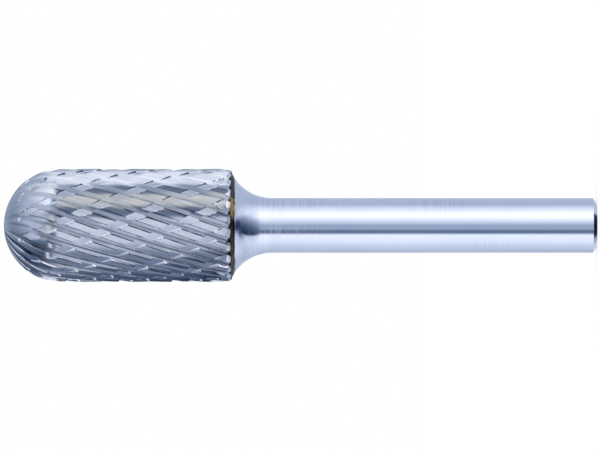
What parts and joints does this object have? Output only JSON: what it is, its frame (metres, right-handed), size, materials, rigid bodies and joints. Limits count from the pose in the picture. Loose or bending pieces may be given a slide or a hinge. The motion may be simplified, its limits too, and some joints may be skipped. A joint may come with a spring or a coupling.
{
  "type": "rotary burr",
  "caption": "Ball-nosed cylindrical rotary burr with helical double-cut teeth on a hard head, brazed to a plain round shank with a flared neck.",
  "frame": {"origin": "centre of the shank's flat end face, on the burr's axis; the burr stands upright on that face", "axes": "+Z runs along the axis from the shank's end to the tip of the ball nose; X and Y are square to it, and -Y faces the picture's camera"},
  "size_m": [0.0124, 0.0124, 0.065],
  "materials": {
    "carbide_head": "ground and polished hard metal, blue-grey",
    "braze_seam": "braze filler, part gold and part dark flux",
    "shank": "ground steel with fine turning marks"
  },
  "bodies": {
    "root": {"carbide_head": "carbide_head", "braze_seam": "braze_seam", "shank": "shank"}
  },
  "joints": []
}
